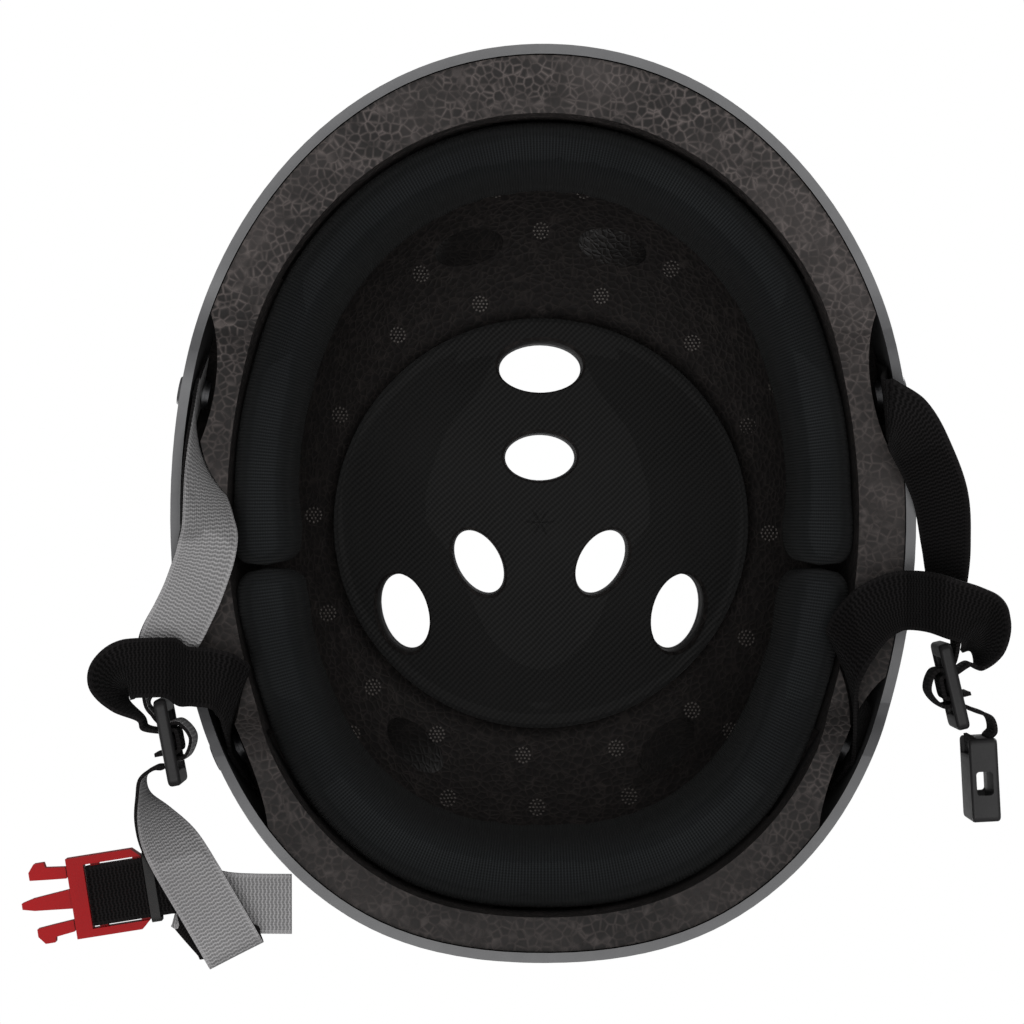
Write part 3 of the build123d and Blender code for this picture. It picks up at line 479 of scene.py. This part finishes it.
# Strap rivets: blackened tubular steel, one through the shell and the end of each side strap.
# A washer under each spreads its pull over the webbing.
steel_dark, steel_light = (0.11, 0.11, 0.115), (0.2, 0.2, 0.205)
rivet_metal = Finish("rivet_metal", metallic=1.0)
scuff = rivet_metal.noise(2500, 3)
rivet_metal.feed("Base Color", rivet_metal.mix(scuff, steel_dark, steel_light))
rivet_metal.feed("Roughness", scuff * 0.25 + 0.3)
rivet_metal.on(nodes["strap_rivets"])
rivet_metal.on(nodes["rivet_washers"])


# Webbing: polyester bands woven in ribs across their width, with tight edges. On the wearer's right one face
# is grey and the other black. Every band is a ribbon through rows, each a place and the way across it.
webbing_width, webbing_thickness, harness_span = 18.0, 1.3, 100.0
side_play, thinnest_twist, columns = 0.1, 0.6, 6
ripple_height, ripple_length, ripple_lean = 0.12, 7.3, 2.2
rib_pitch, wave_pitch, yarn_pitch, tight_edge = 1.15, 2.2, 0.75, 7.7


def webbing_finish(name, dark, light, gloss):
    finish = Finish(name, roughness=0.8, specular_ior_level=gloss, sheen_weight=gloss * 0.3,
                    sheen_roughness=0.4)
    over, run, _ = finish.split(finish.map)
    rib = (run.cycles(rib_pitch) + over.cycles(wave_pitch).sine() * 0.9).sine()
    yarn = over.cycles(yarn_pitch).sine()
    edge = ((over.size() - tight_edge) * 3).held()
    weave = rib * 0.75 + yarn * 0.25
    tone = finish.mix((weave * 0.5 + 0.5).held(), dark, light)
    tone = finish.mix(edge * 0.5, tone, light)
    tone = finish.mix((finish.noise(60, 4) * 1.6 - 0.55).held() * 0.35, tone, dark)
    finish.feed("Base Color", tone)
    finish.bump(weave, 0.00035, 0.8)
    return finish


grey_webbing = webbing_finish("grey_webbing", (0.16, 0.158, 0.159), (0.46, 0.452, 0.456), 0.4)
black_webbing = webbing_finish("black_webbing", (0.0006, 0.0005, 0.0005), (0.0145, 0.0132, 0.0135), 0.08)


def smoothed(rows, steps):
    """The rows with more between them, on a smooth curve through them all."""
    smooth = []
    for index in range(len(rows) - 1):
        near = [rows[min(max(index + step, 0), len(rows) - 1)] for step in (-1, 0, 1, 2)]
        for step in range(steps):
            t = step / steps
            weights = ((-t + 2 * t ** 2 - t ** 3) / 2, (2 - 5 * t ** 2 + 3 * t ** 3) / 2,
                       (t + 4 * t ** 2 - 3 * t ** 3) / 2, (t ** 3 - t ** 2) / 2)
            smooth.append([sum((row[kind] * weight for row, weight in zip(near, weights)), Vector((0, 0, 0)))
                           for kind in (0, 1)])
    smooth.append(list(rows[-1]))
    return smooth


def strap(name, rows, front, back, first=None, last=None):
    """A band of webbing through the rows, front on the side that its width and its run turn towards."""
    smooth = smoothed(rows, 10)[first:last]
    count = len(smooth) - 1
    bpy.ops.object.select_all(action="DESELECT")
    bpy.ops.mesh.primitive_grid_add(x_subdivisions=columns, y_subdivisions=count, size=1)
    made = bpy.context.object
    made.name = made.data.name = name
    runs = [0]
    for index in range(count):
        runs.append(runs[-1] + (smooth[index + 1][0] - smooth[index][0]).length)
    for vertex in made.data.vertices:
        row = round((vertex.co.y + 0.5) * count)
        place, across = smooth[row]
        across = across.normalized()
        along = (smooth[min(row + 1, count)][0] - smooth[max(row - 1, 0)][0]).normalized()
        facing = along.cross(across)
        width = (webbing_width - side_play) / max(facing.length, thinnest_twist)
        ripple = ripple_height * math.sin(runs[row] / ripple_length + vertex.co.x * ripple_lean)
        vertex.co = (place + across * vertex.co.x * width + facing.normalized() * ripple) * mm
    marks = made.data.uv_layers.active.data
    for loop in made.data.loops:
        place = marks[loop.index].uv
        place.x, place.y = (place.x - 0.5) * webbing_width, runs[min(round(place.y * count), count)]
    front.on(made)
    made.data.materials.append(back.material)
    wall = made.modifiers.new("wall", "SOLIDIFY")
    wall.thickness, wall.offset, wall.use_even_offset, wall.material_offset = 1.1 * mm, 0, False, 1
    bpy.ops.object.modifier_apply(modifier="wall")
    bead = made.modifiers.new("bead", "BEVEL")
    bead.width, bead.segments, bead.limit_method, bead.angle_limit = 0.35 * mm, 2, "ANGLE", 1.0
    bpy.ops.object.modifier_apply(modifier="bead")
    bpy.ops.object.shade_smooth_by_angle(angle=0.9)
    return made


# Side straps, the wearer's right: each leaves its rivet between shell and foam and bends over the rim.
# The front one runs through the slider and folds back, and the rear one is sewn round the slider's bar.
shell_half, shell_front, shell_rear, waist = 113.5, 137.0, 142.5, 38.0
shell_wall, rivet_level, rim_tuck, hinge_inset = 3, 37.0, 0.02, 3.8
hinge_line = shell_half * (1 - rim_tuck) - shell_wall - hinge_inset
fold_gap, standoff, stub = 0.35, 1.35, 7.0
layer_pitch = webbing_thickness + fold_gap
front_rivet, rear_rivet = -0.25 * shell_front, 0.55 * shell_rear


def wall_point(side, y, inset, level):
    """A place on the shell's inner wall, moved inwards, and the way out of it."""
    tuck = 1 - rim_tuck * ((waist - level) / waist) ** 2
    half = (shell_half - inset) * tuck
    length = ((shell_rear if y > widest_place else shell_front) - inset) * tuck
    power = nape_power if y > widest_place else brow_power
    along = abs(y - widest_place) / length
    x = half * (1 - along ** power) ** (1 / power)
    out = Vector((side * (x / half) ** (power - 1) / half,
                  math.copysign(along ** (power - 1) / length, y - widest_place), 0)).normalized()
    return Vector((side * x, y, level)), out


def anchored(side, rivet_y, lean, run):
    """The rows that go down the shell's inner wall from a rivet, leaning towards the nape."""
    sine, cosine = math.sin(math.radians(lean)), math.cos(math.radians(lean))
    rows = []
    for step in (-stub, 0, run / 2, run):
        spot, out = wall_point(side, rivet_y + step * sine, shell_wall + standoff + webbing_thickness / 2,
                               rivet_level - step * cosine)
        down = Vector((-out.y, out.x, 0)) * side * sine - Vector((0, 0, cosine))
        rows.append((spot, down.cross(out)))
    return rows


def routed(side, rows):
    """Rows given as shares of the harness's span: out from the hinge line, along, up, and the way across."""
    return [(Vector((side * (hinge_line + out * harness_span), along * harness_span, up * harness_span)),
             Vector((side * across[0], across[1], across[2]))) for out, along, up, across in rows]


side_level_share = 0.125
slider_bar, slider_slot, slider_thickness, loop_bulge = 4.4, 6.6, 4.0, 7.0
close = slider_bar / 2 + fold_gap + webbing_thickness / 2
beside = slider_thickness / 2 + fold_gap + webbing_thickness / 2
loose = close + layer_pitch + fold_gap
slot_end = slider_bar / 2 + slider_slot
corner_share = 0.75
corner_along = slider_bar / 2 + (close - slider_bar / 2) * corner_share
corner_out = slider_thickness / 2 + (beside - slider_thickness / 2) * corner_share
threaded_loop = [(-slot_end - slider_bar, -beside - layer_pitch), (-slot_end, -beside),
                 (-loose - webbing_thickness, -beside * 0.55), (-loose, 0), (-loose, loop_bulge * 0.6),
                 (0, loop_bulge), (loose, loop_bulge * 0.6), (loose, fold_gap)]
sewn_loop = [(-loose, -beside - layer_pitch * 2.2), (-close, -slider_thickness / 4),
             (-close, slider_thickness / 4), (-corner_along, corner_out), (0, beside),
             (corner_along, corner_out), (close, slider_thickness / 4),
             (close, -slider_thickness / 4), (close, -beside - layer_pitch)]
slot_exit = [(loose + fold_gap / 2, -webbing_thickness * 0.4), (loose + beside * 0.7, -beside)]


def slider_frame(side, out, along_share, lean):
    """A slider's middle, the way along it and the way inwards from it."""
    centre = Vector((side * (hinge_line + out * harness_span), along_share * harness_span,
                     side_level_share * harness_span))
    along = Vector((math.sin(math.radians(lean)), math.cos(math.radians(lean)), 0))
    return centre, along, Vector((-side * along.y, side * along.x, 0))


def threaded(frame_of, up, places):
    """The rows of a loop round a slider's bar."""
    centre, along, inwards = frame_of
    return [(centre + along * u + inwards * v, Vector((0, 0, up))) for u, v in places]


right_front_route = [
    (-0.03, 0.02, 0.098, (-0.75, 0, 0.66)), (-0.035, 0.13, 0.078, (-1, 0.05, 0.1)),
    (0, 0.25, 0.07, (-0.92, 0.38, 0)), (0.04, 0.34, 0.07, (-0.9, 0.45, 0)),
    (0.085, 0.42, 0.09, (-0.85, 0.4, 0.3)), (0.117, 0.495, 0.125, (-0.5, 0.2, 0.85)),
]
right_rear_route = [
    (-0.12, 0.6, 0.125, (0.35, 0.9, -0.25)), (-0.09, 0.55, 0.085, (0.3, 0.95, 0)),
    (-0.045, 0.53, 0.072, (0, 1, 0)), (0, 0.525, 0.07, (0, 1, 0)), (0.035, 0.52, 0.063, (0, 1, 0)),
    (0.08, 0.497, 0.03, (0, 1, 0)), (0.135, 0.495, 0.012, (0, 1, 0)),
    (0.195, 0.5, 0.02, (-0.1, 1, 0.15)), (0.238, 0.525, 0.06, (-0.56, 0.56, 0.6)),
    (0.253, 0.565, 0.1, (-0.5, 0, 0.87)), (0.23, 0.612, 0.115, (-0.15, -0.1, 0.98)),
    (0.17, 0.652, 0.12, (0, 0, 1)),
]
right_slider_place = slider_frame(-1, 0.08, 0.72, 10.7)
right_front = strap("right_front_webbing", anchored(-1, front_rivet, 35, 14) + routed(-1, right_front_route)
                    + threaded(right_slider_place, 1, threaded_loop), black_webbing, grey_webbing)
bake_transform(right_front)
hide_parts("right_front_strap", "right_front_strap_end")
right_rear = strap("right_rear_webbing", anchored(-1, rear_rivet, -35, 14) + routed(-1, right_rear_route)
                   + threaded(right_slider_place, 1, sewn_loop), black_webbing, black_webbing)
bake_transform(right_rear)
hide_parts("right_rear_strap", "right_rear_strap_end")


# Side straps, the wearer's left: black on both faces, and lying otherwise than on the right.
# The front one is in two lengths that meet at the hinge line, one on the helmet and one on the harness.
left_front_route = [
    (-0.012, -0.285, 0.13, (-0.1, -1, 0)), (0, -0.27, 0.073, (0.05, -1, 0)),
    (0.045, -0.235, 0.07, (0.55, -0.83, -0.1)), (0.095, -0.155, 0.088, (0.8, -0.5, -0.35)),
    (0.15, -0.02, 0.1, (0.8, -0.25, -0.5)), (0.172, 0.13, 0.13, (0.7, -0.15, -0.7)),
    (0.18, 0.25, 0.155, (0.5, -0.05, -0.85)), (0.189, 0.33, 0.155, (0.15, 0, -0.99)),
]
left_rear_route = [
    (-0.13, 0.5, 0.13, (-0.3, -0.65, 0.7)), (-0.115, 0.415, 0.1, (-0.75, -0.5, 0.4)),
    (-0.06, 0.34, 0.075, (-0.6, -0.8, 0.1)),
    (0, 0.305, 0.07, (-0.25, -0.97, 0)), (0.05, 0.295, 0.065, (0, -1, 0)), (0.11, 0.3, 0.01, (0, -1, 0)),
    (0.175, 0.32, -0.015, (0.1, -1, -0.1)), (0.245, 0.345, -0.005, (0.4, -0.85, -0.3)),
    (0.28, 0.395, 0.045, (0.5, -0.45, -0.7)), (0.29, 0.45, 0.09, (0.3, 0, -0.95)),
    (0.268, 0.498, 0.12, (0, 0, -1)),
]
left_slider_place = slider_frame(1, 0.183, 0.552, 13)
left_rows = (anchored(1, front_rivet, 10, 12) + routed(1, left_front_route)
             + threaded(left_slider_place, -1, threaded_loop))
cut_row = 50
left_end = strap("left_front_webbing_end", left_rows, black_webbing, black_webbing,
                 last=cut_row + 1)
left_front = strap("left_front_webbing", left_rows, black_webbing, black_webbing,
                   first=cut_row)
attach(left_end, "helmet")
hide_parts("left_front_strap_end")
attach(left_front, "left_harness")
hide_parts("left_front_strap")
left_rear = strap("left_rear_webbing", anchored(1, rear_rivet, -35, 14) + routed(1, left_rear_route)
                  + threaded(left_slider_place, -1, sewn_loop), black_webbing, black_webbing)
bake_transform(left_rear)
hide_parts("left_rear_strap", "left_rear_strap_end")


# Chin webbing, the wearer's right: leaves the slider, turns over, folds back on itself and runs doubled
# through the keeper and round the plug's bar, so that its length can be set. Its end lies free.
right_chin_route = [
    (0.125, 0.8, 0.12, (0, 0, 1)), (0.163, 0.83, 0.118, (0, 0, 1)),
    (0.16, 0.885, 0.108, (-0.12, 0, 1)), (0.122, 0.955, 0.07, (-0.5, -0.25, 0.84)),
    (0.055, 1.045, 0.012, (-0.82, -0.45, 0.32)), (-0.02, 1.165, -0.004, (-0.87, -0.49, 0.03)),
    (-0.09, 1.285, -0.002, (-0.884, -0.467, 0)), (-0.114, 1.328, 0.002, (-0.894, -0.447, 0)),
    (-0.126, 1.352, 0.02, (-0.894, -0.447, 0)), (-0.114, 1.328, 0.037, (-0.894, -0.447, 0)),
    (-0.085, 1.305, 0.037, (-0.82, -0.57, 0)), (-0.035, 1.25, 0.037, (-0.66, -0.75, 0)),
    (0.02, 1.185, 0.034, (-0.45, -0.9, 0)),
]
right_tail_route = [
    (0.01, 1.17, 0.068, (-0.05, -1, 0)), (-0.1, 1.2, 0.06, (0, -1, 0)), (-0.29, 1.205, 0.056, (0, -1, 0)),
]
plug_bar, plug_frame_length, keeper_length = 2.6, 14.0, 2.8
plug_out, plug_y, plug_level, plug_turn = 28.5, 117.5, 5, 9
plug_centre = Vector((-(hinge_line + plug_out), plug_y, plug_level))
plug_along = Vector((-math.cos(math.radians(plug_turn)), math.sin(math.radians(plug_turn)), 0))
plug_across = Vector((plug_along.y, -plug_along.x, 0))
bar_wrap = plug_bar / 2 + fold_gap + webbing_thickness / 2
keeper_reach = plug_frame_length + 2 * keeper_length
past_keeper = keeper_reach + webbing_width / 6
wrap_shares = [(-3, -1), (-1, -1), (0, -1), (0.88, -0.82), (1.1, 0), (0.88, 0.82), (0, 1), (-1, 1), (-3, 1)]
wrap_places = ([(-past_keeper, -bar_wrap), (-keeper_reach, -bar_wrap)]
               + [(u * bar_wrap, level * bar_wrap) for u, level in wrap_shares]
               + [(-keeper_reach, bar_wrap), (-past_keeper, bar_wrap)])
plug_wrap = [(plug_centre + plug_along * u + Vector((0, 0, level)), plug_across * -1)
             for u, level in wrap_places]
right_chin = strap("right_chin_webbing", threaded(right_slider_place, 1, slot_exit)
                   + routed(-1, right_chin_route) + plug_wrap + routed(-1, right_tail_route),
                   black_webbing, grey_webbing)
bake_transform(right_chin)
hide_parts("right_chin_strap")


# Chin webbing, the wearer's left: a short black band that leaves the slider as on the right
# and is sewn round the socket's bar.
left_chin_route = [
    (0.25, 0.625, 0.12, (0, 0, -1)), (0.298, 0.645, 0.12, (0, 0, -1)), (0.31, 0.685, 0.12, (0, 0, -1)),
]
socket_bar, socket_out, socket_y, socket_turn = 3.0, 26.8, 72.2, 3
socket_centre = Vector((hinge_line + socket_out, socket_y, side_level_share * harness_span))
socket_along = Vector((math.sin(math.radians(socket_turn)), math.cos(math.radians(socket_turn)), 0))
socket_inwards = Vector((-socket_along.y, socket_along.x, 0))
socket_wrap = socket_bar / 2 + fold_gap + webbing_thickness / 2
socket_shares = [(-0.6, -1.15), (0.1, -1.05), (0.95, -0.85), (1.1, 0), (0.95, 0.85), (0.1, 1.05), (-0.9, 1.1)]
socket_rows = [(socket_centre + socket_along * u * socket_wrap + socket_inwards * v * socket_wrap,
                Vector((0, 0, -1))) for u, v in socket_shares]
left_chin = strap("left_chin_webbing", threaded(left_slider_place, -1, slot_exit)
                  + routed(1, left_chin_route) + socket_rows, black_webbing, black_webbing)
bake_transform(left_chin)
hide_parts("left_chin_strap")


# Ladder sliders: moulded black nylon, one on each side, where the front and rear straps meet.
# The buckle's socket is moulded in the same nylon, dull with a fine spark grain.
nylon_dark, nylon_light = (0.0075, 0.007, 0.0075), (0.017, 0.0165, 0.017)
black_nylon = Finish("black_nylon", specular_ior_level=0.35, coat_weight=0.05)
spark_grain = black_nylon.noise(3200, 2)
black_nylon.feed("Base Color", black_nylon.mix(spark_grain, nylon_dark, nylon_light))
black_nylon.feed("Roughness", black_nylon.noise(700, 3) * 0.2 + 0.34)
black_nylon.bump(spark_grain, 0.00006, 0.6)
for node in ("right_slider", "left_slider", "buckle_socket"):
    black_nylon.on(nodes[node])


# Buckle plug: red nylon, its webbing bar, guide and two sprung latches moulded in one colour.
# The latches are pressed together to draw it out of the socket.
red_deep, red_bright, red_grain = (0.3, 0.0018, 0.0035), (0.41, 0.0032, 0.0055), (0.21, 0.0015, 0.003)
red_nylon = Finish("red_nylon", specular_ior_level=0.09, coat_weight=0.03, coat_roughness=0.2)
fine_grain = red_nylon.noise(3000, 2)
cloud = red_nylon.noise(90, 3)
red_tone = red_nylon.mix(cloud, red_deep, red_bright)
red_nylon.feed("Base Color", red_nylon.mix(fine_grain * 0.3, red_tone, red_grain))
red_nylon.feed("Roughness", cloud * 0.2 + 0.32)
red_nylon.bump(fine_grain, 0.00005, 0.6)
for node in ("buckle_plug", "plug_latch_front", "plug_latch_rear"):
    red_nylon.on(nodes[node])


# Webbing keeper: a black rubber band round the doubled chin webbing, beside the plug.
# It slides along the webbing and grips it.
rubber_dark, rubber_light = (0.006, 0.006, 0.006), (0.014, 0.0135, 0.013)
keeper_rubber = Finish("keeper_rubber", roughness=0.7)
dull = keeper_rubber.noise(1500, 3)
keeper_rubber.feed("Base Color", keeper_rubber.mix(dull, rubber_dark, rubber_light))
keeper_rubber.bump(dull, 0.00008, 0.6)
keeper_rubber.on(nodes["strap_keeper"])


# Studio: a pale floor just under the helmet, clear from beneath and to the lamps' light,
# five soft lamps above and below, and a surround that the camera sees as white.
floor_size, floor_gap, floor_tone = 6, 1.5, (0.8, 0.8, 0.8)
bpy.ops.object.select_all(action="DESELECT")
bpy.ops.mesh.primitive_plane_add(size=floor_size, location=(0, 0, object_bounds()[0][2] - floor_gap * mm))
floor = bpy.context.object
floor.name = "floor"
paint = Finish("pale_floor", roughness=0.9)
paint.shader.inputs["Base Color"].default_value = (*floor_tone, 1)
from_beneath = paint.node("ShaderNodeNewGeometry", {}, {}, "Backfacing")
from_lamp = paint.node("ShaderNodeLightPath", {}, {}, "Is Shadow Ray")
open_share = paint.node("ShaderNodeMath", {"operation": "MAXIMUM"}, {0: from_beneath, 1: from_lamp})
clear = paint.node("ShaderNodeBsdfTransparent", {}, {})
painted = Value(paint, paint.shader.outputs[0])
floor_surface = paint.node("ShaderNodeMixShader", {}, {0: open_share, 1: painted, 2: clear})
paint.links.new(floor_surface.socket, paint.nodes["Material Output"].inputs["Surface"])
paint.on(floor)

surround_light, seen_extra = 0.2, 0.8
world = bpy.data.worlds.new("surround")
world.use_nodes = True
scene.world = world
tree = world.node_tree
sky = tree.nodes["Background"]
sky.inputs["Color"].default_value = (1, 1, 1, 1)
path = tree.nodes.new("ShaderNodeLightPath")
seen = tree.nodes.new("ShaderNodeMath")
seen.operation = "MAXIMUM"
tree.links.new(path.outputs["Is Camera Ray"], seen.inputs[0])
tree.links.new(path.outputs["Is Transmission Ray"], seen.inputs[1])
level = tree.nodes.new("ShaderNodeMath")
level.operation = "MULTIPLY_ADD"
tree.links.new(seen.outputs[0], level.inputs[0])
level.inputs[1].default_value, level.inputs[2].default_value = seen_extra, surround_light
tree.links.new(level.outputs[0], sky.inputs["Strength"])

lamps = (("below_front", (0.25, -0.6, -1.3), 1.0, 6.5), ("below_rear", (-0.2, 0.6, -1.4), 1.0, 9),
         ("below", (0.05, 0, -1.7), 1.2, 10), ("above_left", (0.8, -1.0, 1.1), 1.0, 13),
         ("above_right", (-1.0, 0.4, 1.2), 1.0, 7))
for name, place, size, power in lamps:
    lamp = bpy.data.lights.new(name, "AREA")
    lamp.size, lamp.energy = size, power
    lamp_object = bpy.data.objects.new(name, lamp)
    lamp_object.location = place
    lamp_object.rotation_euler = (-Vector(place)).to_track_quat("-Z", "Y").to_euler()
    scene.collection.objects.link(lamp_object)
